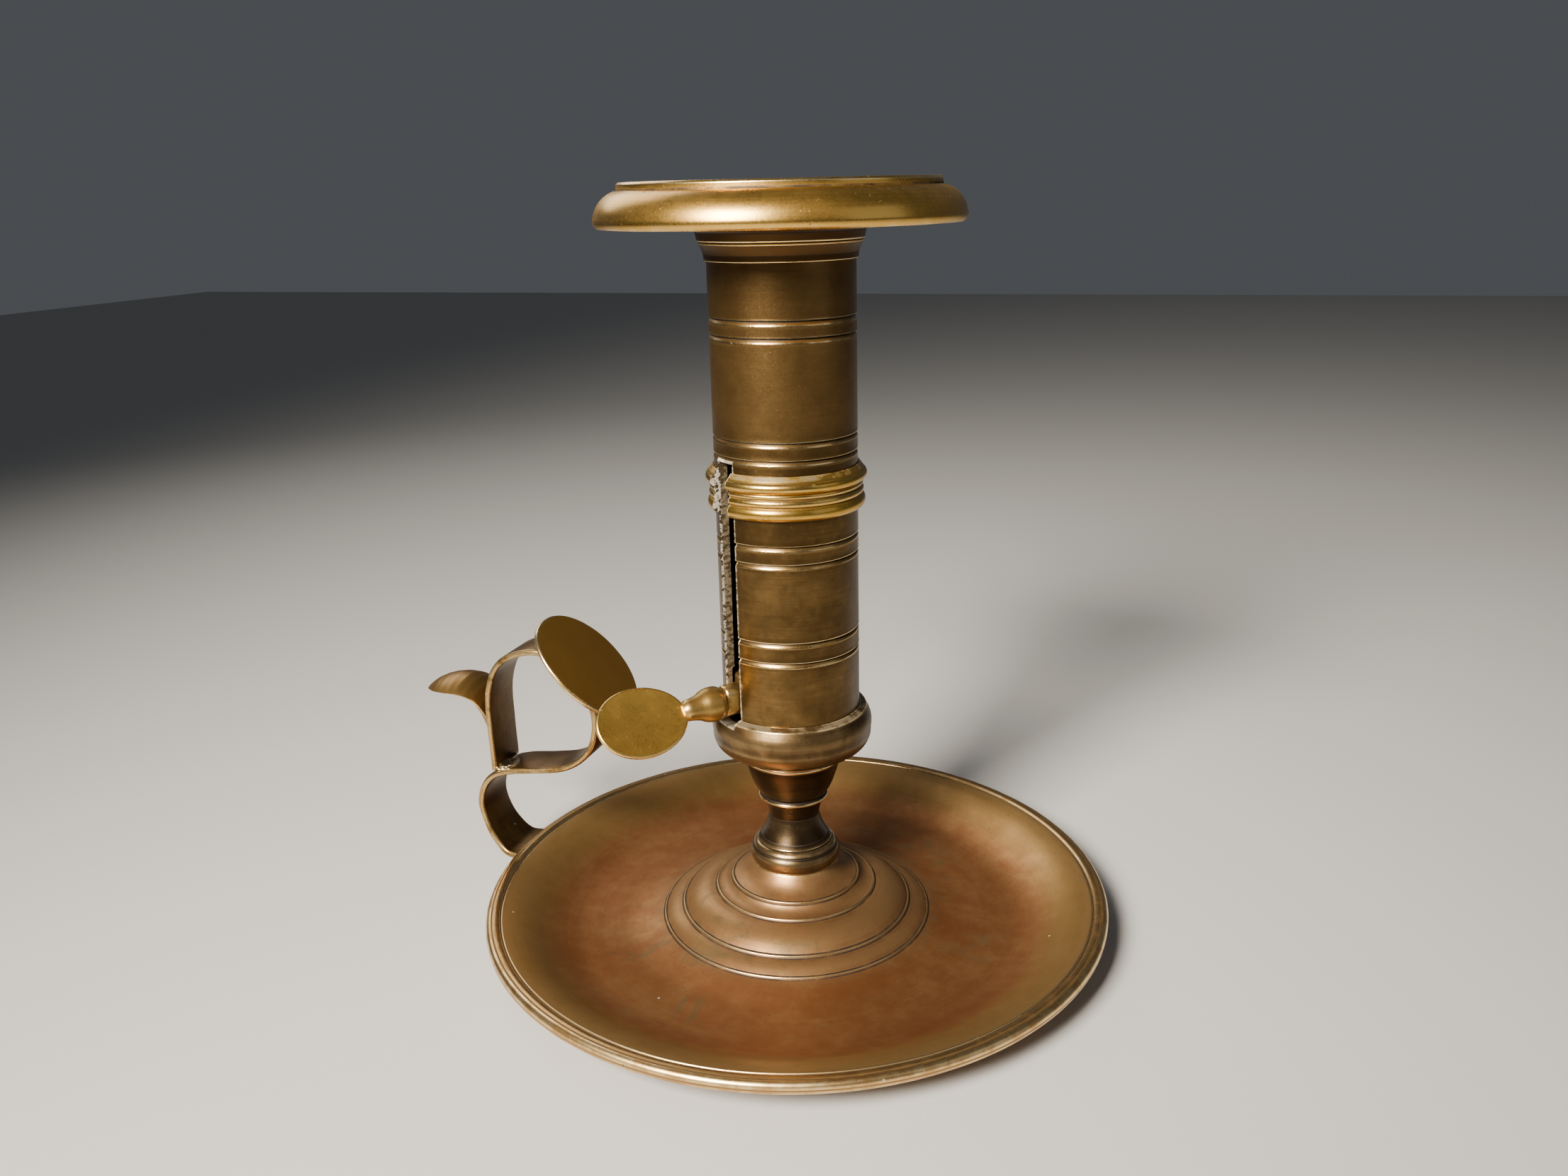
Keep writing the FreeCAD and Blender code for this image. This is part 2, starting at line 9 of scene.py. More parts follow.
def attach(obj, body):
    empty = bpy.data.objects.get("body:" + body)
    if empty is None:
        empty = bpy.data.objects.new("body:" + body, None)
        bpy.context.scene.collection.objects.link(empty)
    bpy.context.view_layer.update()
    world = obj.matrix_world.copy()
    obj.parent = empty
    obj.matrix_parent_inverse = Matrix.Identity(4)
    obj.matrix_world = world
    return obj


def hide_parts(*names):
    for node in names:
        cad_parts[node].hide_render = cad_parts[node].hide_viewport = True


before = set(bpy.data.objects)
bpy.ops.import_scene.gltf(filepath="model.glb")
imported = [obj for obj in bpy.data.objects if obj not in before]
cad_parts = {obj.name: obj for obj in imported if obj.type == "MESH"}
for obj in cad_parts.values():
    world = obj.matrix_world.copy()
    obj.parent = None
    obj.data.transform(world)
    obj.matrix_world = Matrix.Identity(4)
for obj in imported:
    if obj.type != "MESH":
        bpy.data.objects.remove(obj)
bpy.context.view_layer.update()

MM = 0.001

# ---------------------------------------------------------------- sizes, in millimetres
PAN_R, PAN_RIM = 60.95, 8.25
DOME_TOP = 14.2
COLUMN_R, BORE_R, MOUTH_FLARE = 13.0, 11.2, 0.5
PARKING_R, PARKING_TOP = 11.7, 56.0  # the wider bore round the parked piston
CUP_LOW, CUP_FLOOR, COLUMN_TOP, TENON_R = 37.0, 42.5, 140.0, 4.5
SLOT_ANGLE = math.radians(232.0)
SLOT_HALF, SLOT_LOW, SLOT_HIGH = 2.35, 46.2, 95.5
LINE_HEIGHTS = (59.45, 63.2, 77.8, 81.1, 96.3, 99.4, 117.0, 119.9)
BAND_LOW, BAND_HIGH = 86.2, 94.0
FLANGE_TOP = 142.65
LEVER_Z, PADDLE_START, PADDLE_HALF, PADDLE_TILT = 51.0, 22.9, 8.85, math.radians(42.0)
STRAP_HALF, STRAP_T = 4.9, 1.3
RING_FRONT, RING_BACK, RING_LOW, RING_HIGH = 40.3, 64.5, 27.6, 53.6
BELLY_REACH = 68.4
PLATE_CENTRE, PLATE_SLOPE = Vector((-43.1, 0.0, 50.2)), math.radians(46.0)
TO_SLOT = Matrix.Rotation(SLOT_ANGLE, 4, "Z")


# ---------------------------------------------------------------- outlines
def arc_between(a, b, bulge):
    """Points strictly between a and b on the arc that bulges to the left of a-b."""
    chord = b - a
    left = Vector((-chord.y, chord.x)).normalized()
    radius = (chord.length ** 2 / 4 + bulge ** 2) / (2 * abs(bulge))
    centre = (a + b) / 2 - left * math.copysign(radius - abs(bulge), bulge)
    start = math.atan2(a.y - centre.y, a.x - centre.x)
    turn = 4 * math.atan(2 * abs(bulge) / chord.length) * (-1 if bulge > 0 else 1)
    count = max(4, int(abs(turn) / 0.16))
    return [centre + radius * Vector((math.cos(start + turn * k / count),
                                      math.sin(start + turn * k / count)))
            for k in range(1, count)]


def outline(corners, soft):
    """Corners (x, y[, bulge[, softness]]) to a closed fine line with every corner eased."""
    raw = []
    for i, corner in enumerate(corners):
        a, b = Vector(corner[:2]), Vector(corners[(i + 1) % len(corners)][:2])
        raw.append((a, corner[3] if len(corner) > 3 else soft))
        bulge = corner[2] if len(corner) > 2 else 0.0
        if bulge:
            raw += [(point, 0.0) for point in arc_between(a, b, bulge)]
    line = []
    for i, (point, ease) in enumerate(raw):
        if ease <= 0:
            line.append(point)
            continue
        before, after = raw[i - 1][0] - point, raw[(i + 1) % len(raw)][0] - point
        reach = min(ease, 0.42 * before.length, 0.42 * after.length)
        u, v = before.normalized(), after.normalized()
        if before.length > 4 * reach:
            line.append(point + u * reach * 1.5)
        for k in range(5):
            t = k / 4
            line.append((1 - t) ** 2 * (point + u * reach) + 2 * t * (1 - t) * point
                        + t ** 2 * (point + v * reach))
        if after.length > 4 * reach:
            line.append(point + v * reach * 1.5)
    return line


def smooth_path(points, step=0.5):
    """A Catmull-Rom line through the points, cut into short even runs."""
    ends = [points[0] * 2 - points[1]] + list(points) + [points[-1] * 2 - points[-2]]
    line = []
    for p0, p1, p2, p3 in zip(ends, ends[1:], ends[2:], ends[3:]):
        count = max(3, int((p2 - p1).length / step))
        for k in range(count):
            t = k / count
            line.append(0.5 * ((2 * p1) + (p2 - p0) * t + (2 * p0 - 5 * p1 + 4 * p2 - p3) * t ** 2
                               + (3 * p1 - p0 - 3 * p2 + p3) * t ** 3))
    line.append(points[-1])
    return line


# ---------------------------------------------------------------- meshes
def finish_mesh(name, mesh, body, material, stands_for=(), turn=None, wobble=0.03):
    """Weld, place, age and smooth a mesh given in millimetres, and hang it on its body."""
    bmesh.ops.remove_doubles(mesh, verts=mesh.verts, dist=1e-4)
    bmesh.ops.recalc_face_normals(mesh, faces=mesh.faces)
    if turn is not None:
        mesh.transform(turn)
    mesh.normal_update()
    for vertex in mesh.verts:
        spot = vertex.co
        push = noise.noise(spot * 0.11) * wobble + noise.noise(spot * 0.7) * wobble * 0.25
        vertex.co = spot + vertex.normal * push
    mesh.transform(Matrix.Scale(MM, 4))
    data = bpy.data.meshes.new(name)
    mesh.to_mesh(data)
    mesh.free()
    piece = bpy.data.objects.new(name, data)
    bpy.context.scene.collection.objects.link(piece)
    data.polygons.foreach_set("use_smooth", [True] * len(data.polygons))
    data.set_sharp_from_angle(angle=math.radians(38))
    mark_wear(data)
    data.materials.append(material)
    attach(piece, body)
    if stands_for:
        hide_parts(*stands_for)
    return piece


def mark_wear(data, scale=0.9, rounds=2):
    """Store how proud (+) or hollow (-) each point is, from the mesh's own curvature."""
    count = len(data.vertices)
    places = np.empty(count * 3)
    data.vertices.foreach_get("co", places)
    places = places.reshape(-1, 3) * 1000
    faces = len(data.polygons)
    totals = np.empty(faces, int)
    data.polygons.foreach_get("loop_total", totals)
    normals, centres, areas = np.empty(faces * 3), np.empty(faces * 3), np.empty(faces)
    data.polygons.foreach_get("normal", normals)
    data.polygons.foreach_get("center", centres)
    data.polygons.foreach_get("area", areas)
    normals, centres = normals.reshape(-1, 3), centres.reshape(-1, 3) * 1000
    loops = len(data.loops)
    loop_edge, loop_vertex = np.empty(loops, int), np.empty(loops, int)
    data.loops.foreach_get("edge_index", loop_edge)
    data.loops.foreach_get("vertex_index", loop_vertex)
    loop_face = np.repeat(np.arange(faces), totals)
    spread = np.zeros(count)
    np.add.at(spread, loop_vertex, (areas * 1e6 / totals)[loop_face])
    order = np.argsort(loop_edge, kind="stable")
    edge, face = loop_edge[order], loop_face[order]
    paired = np.nonzero(edge[:-1] == edge[1:])[0]
    one, two, shared = face[paired], face[paired + 1], edge[paired]
    ends = np.empty(len(data.edges) * 2, int)
    data.edges.foreach_get("vertices", ends)
    ends = ends.reshape(-1, 2)
    bend = np.arccos(np.clip((normals[one] * normals[two]).sum(1), -1, 1))
    proud = -np.sign(((centres[two] - centres[one]) * normals[one]).sum(1))
    span = np.linalg.norm(places[ends[shared, 0]] - places[ends[shared, 1]], axis=1)
    curvature = np.zeros(count)
    for side in (0, 1):
        np.add.at(curvature, ends[shared, side], bend * proud * span / 4)
    wear = np.tanh(curvature / np.maximum(spread, 1e-9) * scale)
    neighbours = np.maximum(np.bincount(ends.ravel(), minlength=count), 1)
    for _ in range(rounds):
        around = np.zeros(count)
        np.add.at(around, ends[:, 0], wear[ends[:, 1]])
        np.add.at(around, ends[:, 1], wear[ends[:, 0]])
        wear = 0.5 * wear + 0.5 * around / neighbours
    layer = data.attributes.new("wear", "FLOAT", "POINT")
    layer.data.foreach_set("value", wear.astype(np.float32))


def turned_mesh(line, segments=256, gap=None):
    """Turn a closed line of (radius, height) about Z.  gap is half the width, in
    millimetres, of a cut left open towards +X; its ends are closed."""
    mesh = bmesh.new()
    rings = []
    count = segments if gap is None else segments + 1
    for j in range(count):
        ring = []
        for p in line:
            if gap is None:
                angle = 2 * math.pi * j / segments
            else:
                opening = math.asin(min(0.99, gap / max(p.x, gap * 1.02)))
                angle = opening + (2 * math.pi - 2 * opening) * j / segments
            ring.append(mesh.verts.new((p.x * math.cos(angle), p.x * math.sin(angle), p.y)))
        rings.append(ring)
    around = len(line)
    last = count if gap is None else count - 1
    for j in range(last):
        here, there = rings[j], rings[(j + 1) % count]
        for i in range(around):
            k = (i + 1) % around
            mesh.faces.new((here[i], there[i], there[k], here[k]))
    if gap is not None:
        for ring in (rings[0], rings[-1]):
            mesh.faces.new(ring)
    return mesh


def slot_angles(radius, gap, segments):
    """Angles round a ring: even outside a slot of half width gap, then two within it."""
    opening = math.asin(gap / radius)
    outside = [opening + (2 * math.pi - 2 * opening) * k / segments for k in range(segments + 1)]
    return outside + [2 * math.pi - opening * 0.33, 2 * math.pi + opening * 0.33]


def slotted_ring(mesh, radius, height, gap, segments):
    """New vertices of the mesh at the slot angles."""
    return [mesh.verts.new((radius * math.cos(angle), radius * math.sin(angle), height))
            for angle in slot_angles(radius, gap, segments)]


def nicked_mesh(line, gap, floor_z, segments=224):
    """Turn a closed line about Z, leaving a nick towards +X above the height floor_z."""
    mesh = bmesh.new()
    rings = [slotted_ring(mesh, p.x, p.y, gap, segments) for p in line]
    high = [p.y > floor_z - 1e-6 for p in line]
    columns = segments + 3
    for i in range(len(line)):
        k = (i + 1) % len(line)
        for j in range(columns):
            if high[i] and high[k] and j >= segments:
                continue
            m = (j + 1) % columns
            mesh.faces.new((rings[i][j], rings[i][m], rings[k][m], rings[k][j]))
    crest = [i for i in range(len(line)) if high[i]]
    for j in (0, segments):
        mesh.faces.new([rings[i][j] for i in crest])
    for j in range(segments, columns):
        m = (j + 1) % columns
        mesh.faces.new((rings[crest[0]][j], rings[crest[0]][m], rings[crest[-1]][m],
                        rings[crest[-1]][j]))
    return mesh


def swept_mesh(path, section_at):
    """Loft closed cross-sections, given by section_at(i), along the path."""
    mesh = bmesh.new()
    rings = [[mesh.verts.new(p) for p in section_at(i)] for i in range(len(path))]
    size = len(rings[0])
    for here, there in zip(rings, rings[1:]):
        for i in range(size):
            k = (i + 1) % size
            mesh.faces.new((here[i], here[k], there[k], there[i]))
    mesh.faces.new(rings[0])
    mesh.faces.new(list(reversed(rings[-1])))
    return mesh


def rounded_bar(half_width, half_height, radius, steps=4):
    """Corners of a rounded rectangle as (across, up) pairs."""
    pairs = []
    for cx, cy, start in ((1, 1, 0), (-1, 1, 90), (-1, -1, 180), (1, -1, 270)):
        for k in range(steps + 1):
            angle = math.radians(start + 90 * k / steps)
            pairs.append((cx * (half_width - radius) + radius * math.cos(angle),
                          cy * (half_height - radius) + radius * math.sin(angle)))
    return pairs


def plate_mesh(edge_at, thickness, ease, crown=0.0, points=160, rings=14):
    """A thin plate: edge_at(angle) gives its outline, its rim is rounded over."""
    mesh = bmesh.new()
    half = thickness / 2
    rows = []
    for k in range(rings + 1):
        share = math.sin(math.pi / 2 * k / rings)
        rows.append((share, half, 0.0))
    for k in range(1, 9):
        angle = math.pi * k / 8
        rows.append((1.0, half * math.cos(angle), ease * math.sin(angle)))
    for k in range(rings - 1, -1, -1):
        rows.append((math.sin(math.pi / 2 * k / rings), -half, 0.0))
    grid = []
    for share, height, outward in rows:
        row = []
        for j in range(points):
            edge = edge_at(2 * math.pi * j / points)
            size = max(edge.length, 1e-6)
            spot = edge * (share * (size - ease) / size) + edge / size * outward
            lift = crown * (1 - (spot.length / size) ** 2)
            row.append(mesh.verts.new((spot.x, spot.y, height + lift)))
        grid.append(row)
    for here, there in zip(grid, grid[1:]):
        for j in range(points):
            k = (j + 1) % points
            mesh.faces.new((here[j], here[k], there[k], there[j]))
    return mesh


def axes(x_axis, y_axis, z_axis, origin):
    """The transform that has these three axes at this origin."""
    place = Matrix.Identity(4)
    for column, axis in enumerate((x_axis, y_axis, z_axis, origin)):
        for row in range(3):
            place[row][column] = axis[row]
    return place


# ---------------------------------------------------------------- materials
class Shader:
    """Short names for building a node material."""

    def __init__(self, name):
        self.material = bpy.data.materials.new(name)
        self.material.use_nodes = True
        self.tree = self.material.node_tree
        self.tree.nodes.clear()

    def add(self, kind, inputs=(), **settings):
        node = self.tree.nodes.new(kind)
        for key, value in settings.items():
            setattr(node, key, value)
        for key, value in dict(inputs).items():
            self.feed(node.inputs[key], value)
        return node

    def feed(self, socket, value):
        if isinstance(value, bpy.types.NodeSocket):
            self.tree.links.new(value, socket)
        else:
            socket.default_value = value

    def math(self, operation, a, b=0.0, clamp=False):
        node = self.add("ShaderNodeMath", {0: a, 1: b}, operation=operation)
        node.use_clamp = clamp
        return node.outputs[0]

    def plus(self, a, b, clamp=False):
        return self.math("ADD", a, b, clamp=clamp)

    def minus(self, a, b, clamp=False):
        return self.math("SUBTRACT", a, b, clamp=clamp)

    def times(self, a, b):
        return self.math("MULTIPLY", a, b)

    def swing(self, value, strength):
        """A 0 to 1 value as a swing either side of zero."""
        return self.times(self.minus(value, 0.5), strength)

    def mix(self, share, a, b):
        node = self.add("ShaderNodeMix", data_type="RGBA")
        for index, value in ((0, share), (6, a), (7, b)):
            self.feed(node.inputs[index], value)
        return node.outputs[2]

    def remap(self, value, low, high, new_low=0.0, new_high=1.0):
        node = self.add("ShaderNodeMapRange", {0: value, 1: low, 2: high, 3: new_low, 4: new_high},
                        interpolation_type="SMOOTHSTEP")
        return node.outputs[0]

    def noise(self, vector, scale, detail, rough, twist=0.0):
        node = self.add("ShaderNodeTexNoise", {"Vector": vector, "Scale": scale, "Detail": detail,
                                               "Roughness": rough, "Distortion": twist})
        return node.outputs[0]


GRIME, FLECK = (0.012, 0.007, 0.003, 1), (0.72, 0.66, 0.52, 1)
# Under the flange the colour is darker: partly tarnish, partly painted shade.
WORN_EDGE, TARNISH_AND_PAINTED_SHADE_UNDER_FLANGE = (0.90, 0.68, 0.34, 1), (0.085, 0.042, 0.012, 1)
CRUST, BURR = (0.16, 0.128, 0.078, 1), (0.66, 0.60, 0.48, 1)
SAW_DARK, SAW_LIGHT = (0.07, 0.048, 0.026, 1), (0.25, 0.19, 0.115, 1)


class Patina(Shader):
    """The places and noises that every layer of an old brass surface shares."""

    def __init__(self, name, seed, turned):
        super().__init__(name)
        place = self.add("ShaderNodeTexCoord").outputs["Object"]
        true_mm = self.add("ShaderNodeVectorMath", {0: place, 1: (1000.0,) * 3},
                           operation="MULTIPLY").outputs[0]
        self.mm = self.add("ShaderNodeVectorMath", {0: true_mm, 1: (seed, seed * 0.7, seed * 1.3)},
                           operation="ADD").outputs[0]
        self.x, self.y, self.z = self.add("ShaderNodeSeparateXYZ", {0: true_mm}).outputs
        self.radius = self.math("SQRT", self.plus(self.times(self.x, self.x),
                                                  self.times(self.y, self.y)))
        self.blotch = self.noise(self.mm, 0.055, 5.0, 0.6, 0.6)
        self.cloud = self.noise(self.mm, 0.28, 5.0, 0.62, 0.3)
        self.grain = self.noise(self.mm, 2.6, 3.0, 0.6)
        self.streak = self.noise(self.tool_marks(turned), 1.0, 3.0, 0.65)
        wear = self.add("ShaderNodeAttribute", attribute_name="wear").outputs["Fac"]
        self.scuffed = self.times(self.math("MAXIMUM", wear, 0.0),
                                  self.remap(self.cloud, 0.3, 0.62, 0.55, 1.35))
        self.hollow = self.math("MAXIMUM", self.times(wear, -1.0), 0.0)
        self.pit = self.remap(self.noise(self.mm, 1.3, 2.0, 0.5), 0.70, 0.76)
        height = self.plus(self.times(self.grain, 0.35), self.times(self.streak, 0.5))
        height = self.plus(height, self.times(self.cloud, 0.5))
        self.height = self.minus(height, self.times(self.pit, 0.8))
        self.colour = self.metallic = self.roughness = None

    def tool_marks(self, turned):
        """Stretched coordinates: round the axis on turned work, else along the piece."""
        if not turned:
            return self.add("ShaderNodeVectorMath", {0: self.mm, 1: (0.35, 2.4, 0.35)},
                            operation="MULTIPLY").outputs[0]
        angle = self.math("ARCTAN2", self.y, self.x)
        return self.add("ShaderNodeCombineXYZ", {0: self.times(self.radius, 3.2),
                                                 1: self.times(self.z, 3.2),
                                                 2: self.times(angle, 1.6)}).outputs[0]

    def lay(self, share, colour, rougher=0.0, duller=0.0, raised=None):
        """Lay a colour over the surface, and change the other values by the same share."""
        self.colour = self.mix(share, self.colour, colour)
        self.roughness = self.plus(self.roughness, self.times(share, rougher), clamp=True)
        self.metallic = self.minus(self.metallic, self.times(share, duller), clamp=True)
        if raised is not None:
            self.height = self.plus(self.height, self.times(share, raised))

    def lay_stain(self, stain):
        spread = self.times(self.remap(self.noise(self.mm, 0.10, 4.0, 0.6, 1.2),
                                       0.56, 0.72, 0.0, 0.6),
                            self.remap(self.radius, 45.0, 38.0))
        self.lay(spread, stain, duller=0.2)

    def lay_dirt(self):
        """Grime in the corners and in small pits."""
        dirt = self.times(self.remap(self.hollow, 0.04, 0.5),
                          self.remap(self.cloud, 0.25, 0.6, 0.7, 1.0))
        dirt = self.math("MAXIMUM", dirt, self.times(self.pit, 0.7))
        self.lay(dirt, GRIME, rougher=0.25, duller=0.45)

    def lay_flecks(self):
        cells = self.add("ShaderNodeTexVoronoi", {"Vector": self.mm, "Scale": 0.13})
        chosen = self.math("GREATER_THAN", self.math("FRACT", self.times(cells.outputs[1], 7.0)),
                           0.45)
        fleck = self.times(self.remap(cells.outputs[0], 0.035, 0.022), chosen)
        self.lay(self.times(fleck, 0.75), FLECK, rougher=0.27)

    def lay_crust(self, low, high, least_radius):
        """A pale crust between two heights, outside the least radius."""
        crust = self.times(self.remap(self.z, low - 0.25, low + 0.1),
                           self.remap(self.z, high + 0.2, high))
        crust = self.times(crust, self.remap(self.radius, least_radius - 0.1, least_radius + 0.1))
        crust = self.times(crust, self.remap(self.cloud, 0.42, 0.60, 0.05, 0.8))
        self.lay(crust, CRUST, rougher=0.15, duller=0.6, raised=self.times(self.grain, 3.0))

    def lay_sawn_lips(self):
        """Raw metal on the slot's cut faces, and a pale burr at their outer edge."""
        across = self.plus(self.times(self.x, -math.sin(SLOT_ANGLE)),
                           self.times(self.y, math.cos(SLOT_ANGLE)))
        outward = self.plus(self.times(self.x, math.cos(SLOT_ANGLE)),
                            self.times(self.y, math.sin(SLOT_ANGLE)))
        here = self.times(self.math("GREATER_THAN", outward, 5.0),
                          self.times(self.math("GREATER_THAN", self.z, SLOT_LOW - 0.3),
                                     self.math("LESS_THAN", self.z, SLOT_HIGH + 0.5)))
        beyond = self.minus(self.math("ABSOLUTE", across), SLOT_HALF)
        raw = self.times(here, self.remap(beyond, 0.28, 0.18))
        saw = self.noise(self.add("ShaderNodeVectorMath", {0: self.mm, 1: (1.0, 1.0, 1.7)},
                                  operation="MULTIPLY").outputs[0], 0.9, 3.0, 0.7)
        self.lay(raw, self.mix(self.remap(saw, 0.42, 0.58), SAW_DARK, SAW_LIGHT),
                 rougher=0.12, duller=0.65, raised=self.times(saw, 4.0))
        ragged = self.plus(0.02, self.times(self.remap(saw, 0.44, 0.62), 0.40))
        burr = self.times(self.math("LESS_THAN", beyond, ragged),
                          self.remap(self.radius, COLUMN_R - 0.45, COLUMN_R - 0.2))
        far_lip = self.math("LESS_THAN", across, 0.0)
        burr = self.times(self.times(burr, here), self.plus(far_lip, 0.25, clamp=True))
        self.lay(burr, BURR)

    def finish(self):
        bump = self.add("ShaderNodeBump", {"Strength": 0.35, "Distance": 0.00004,
                                           "Height": self.height})
        surface = self.add("ShaderNodeBsdfPrincipled", {
            "Base Color": self.colour, "Metallic": self.metallic, "Roughness": self.roughness,
            "Normal": bump.outputs[0]})
        output = self.add("ShaderNodeOutputMaterial")
        self.tree.links.new(surface.outputs[0], output.inputs[0])
        return self.material


def aged_brass(name, clean, tarnish, cover, rough, turned=True, zones=(), metal=(1.0, 0.88),
               edge=1.0, seed=0.0, mottle=1.0, above=None, dark_below=None, stain=None,
               residue=None, sawn=False):
    """Brass under uneven tarnish: bright where it is worn, dark where dirt collects.
    cover is how much of it the tarnish takes, mottle how unevenly, edge how far wear shows;
    rough and metal are (clean, tarnished) values.
    zones are (inner radius, outer radius, tarnish colour) with a soft change between them;
    above is (low, high, colour), changing softly with height: on the column, painted light;
    dark_below is a height under which it darkens, partly tarnish and partly painted shade;
    residue is (low, high, least radius) of a pale crust; sawn adds the raw slot lips."""
    s = Patina(name, seed, turned)
    amount = s.plus(cover, s.swing(s.blotch, 1.1 * mottle))
    amount = s.plus(amount, s.swing(s.cloud, 0.9 * mottle))
    amount = s.plus(amount, s.swing(s.streak, 0.35 * mottle))
    # Darker towards the bottom below dark_below: partly more tarnish, partly painted shade under
    # the flange.
    lower = s.remap(s.z, dark_below, dark_below - 0.6) if dark_below else 0.0
    amount = s.plus(amount, s.times(lower, 0.75))
    amount = s.remap(s.minus(amount, s.times(s.scuffed, 1.7 * edge)), 0.0, 1.0)
    patina_and_painted_light = tarnish
    for start, full, shade in zones:
        ragged = s.plus(s.radius, s.swing(s.blotch, 3.0))
        patina_and_painted_light = s.mix(s.remap(ragged, start, full), patina_and_painted_light, shade)
    # A colour that changes with height: painted light on the column's upper part, a darker top on
    # the band.
    if above:
        low, high, shade = above
        patina_and_painted_light = s.mix(s.remap(s.z, low, high), patina_and_painted_light, shade)
    # Painted shade under the flange, blended with darker tarnish.
    if dark_below:
        patina_and_painted_light = s.mix(lower, patina_and_painted_light, TARNISH_AND_PAINTED_SHADE_UNDER_FLANGE)
    s.colour = s.mix(amount, clean, patina_and_painted_light)
    s.metallic = s.remap(amount, 0.0, 1.0, metal[0], metal[1])
    s.roughness = s.plus(s.remap(amount, 0.0, 1.0, rough[0], rough[1]), s.swing(s.grain, 0.14))
    s.lay(s.times(s.remap(s.scuffed, 0.28, 0.7), 0.85 * edge), WORN_EDGE)
    if stain:
        s.lay_stain(stain)
    s.lay_dirt()
    s.lay_flecks()
    if residue:
        s.lay_crust(*residue)
    if sawn:
        s.lay_sawn_lips()
    return s.finish()


# The column is lighter from 94 to 104 mm up: painted light on its upper part.
COLUMN = aged_brass("patina_column", (0.52, 0.31, 0.105, 1), (0.060, 0.0335, 0.0092, 1), 0.89,
                    rough=(0.22, 0.32), sawn=True, mottle=0.55,
                    above=(94.0, 104.0, (0.135, 0.076, 0.024, 1)))
STEM = aged_brass("patina_stem", (0.45, 0.30, 0.14, 1), (0.030, 0.018, 0.008, 1), 0.98,
                  rough=(0.2, 0.33), seed=3.1, mottle=0.45, edge=0.8)
CUP = aged_brass("patina_cup", (0.52, 0.34, 0.15, 1), (0.062, 0.036, 0.014, 1), 0.90,
                 rough=(0.2, 0.33), seed=5.2, residue=(46.8, 47.5, 12.9), sawn=True,
                 mottle=0.7, edge=0.8)
PAN = aged_brass("patina_pan", (0.58, 0.35, 0.14, 1), (0.215, 0.108, 0.042, 1), 0.82,
                 rough=(0.30, 0.42), seed=7.7, metal=(1.0, 0.8), stain=(0.085, 0.07, 0.03, 1),
                 zones=((25.0, 30.0, (0.225, 0.084, 0.027, 1)),
                        (46.0, 52.5, (0.26, 0.145, 0.042, 1))), mottle=0.6)
# Below 135.2 mm the collar under the flange darkens: partly tarnish, partly painted shade.
BRIGHT = aged_brass("brass_bright", (0.72, 0.43, 0.10, 1), (0.30, 0.150, 0.032, 1), 0.55,
                    rough=(0.27, 0.38), seed=11.3, dark_below=135.2, mottle=0.9)
BAND = aged_brass("brass_band", (0.70, 0.42, 0.075, 1), (0.30, 0.155, 0.026, 1), 0.52,
                  rough=(0.22, 0.34), seed=13.1, residue=(93.3, 94.1, 12.9), sawn=True, mottle=0.6,
                  edge=0.3, above=(91.0, 91.8, (0.085, 0.048, 0.016, 1)))
LEVER = aged_brass("brass_lever", (0.93, 0.57, 0.12, 1), (0.60, 0.34, 0.055, 1), 0.36,
                   rough=(0.28, 0.36), turned=False, seed=15.9, edge=0.35, mottle=0.45)
SHANK = aged_brass("patina_shank", (0.60, 0.38, 0.11, 1), (0.17, 0.100, 0.028, 1), 0.72,
                   rough=(0.28, 0.40), turned=False, seed=17.2, edge=0.35, mottle=0.6)
HANDLE = aged_brass("patina_handle", (0.48, 0.28, 0.080, 1), (0.040, 0.018, 0.005, 1), 0.88,
                    rough=(0.24, 0.36), turned=False, seed=19.4, mottle=0.5, edge=0.38)
LEAF_BRASS = aged_brass("patina_leaf", (0.60, 0.36, 0.11, 1), (0.15, 0.078, 0.019, 1), 0.80,
                        rough=(0.26, 0.38), turned=False, seed=24.4, mottle=0.12, edge=0.6)
PLATE = aged_brass("patina_plate", (0.66, 0.42, 0.11, 1), (0.32, 0.165, 0.030, 1), 0.92,
                   rough=(0.26, 0.40), turned=False, seed=29.3, mottle=0.3)
SOLDER = aged_brass("old_solder", (0.80, 0.66, 0.42, 1), (0.40, 0.27, 0.12, 1), 0.30,
                    rough=(0.22, 0.36), turned=False, seed=33.0)
FIXING = aged_brass("brass_dull", (0.42, 0.27, 0.10, 1), (0.14, 0.08, 0.03, 1), 0.7,
                    rough=(0.35, 0.55), turned=False, seed=23.0)

# ---------------------------------------------------------------- drip pan
pan_line = outline([
    (3.65, DOME_TOP), (8.1, DOME_TOP, -0.55), (12.2, 11.0), (12.6, 11.05), (12.75, 10.5, -0.35),
    (15.3, 9.2), (15.7, 9.25), (15.9, 8.75, 0.75), (22.1, 5.8), (22.5, 5.85), (22.7, 5.35, 0.25),
    (26.0, 3.8), (26.3, 3.85), (26.5, 3.4, -0.45), (36.0, 2.0, 0, 2.0), (42.5, 2.0, -0.6, 0),
    (51.0, 5.2, 0.45, 0), (57.95, 8.05), (58.15, 7.75), (58.35, 8.05, 0.2),
    (59.8, PAN_RIM, 0.45), (PAN_R, 7.0, 0.4), (59.7, 5.8), (58.0, 6.0), (53.7, 5.3, 1.2),
    (46.5, 0.04), (37.0, 0.04, 0.4), (27.0, 1.5), (22.0, 3.9), (15.6, 7.2), (12.2, 9.0),
    (9.6, 12.3), (3.65, 12.3)], soft=0.14)
finish_mesh("drip_pan_spun", turned_mesh(pan_line, 320), "candlestick", PAN,
            ["drip_pan"], wobble=0.04)

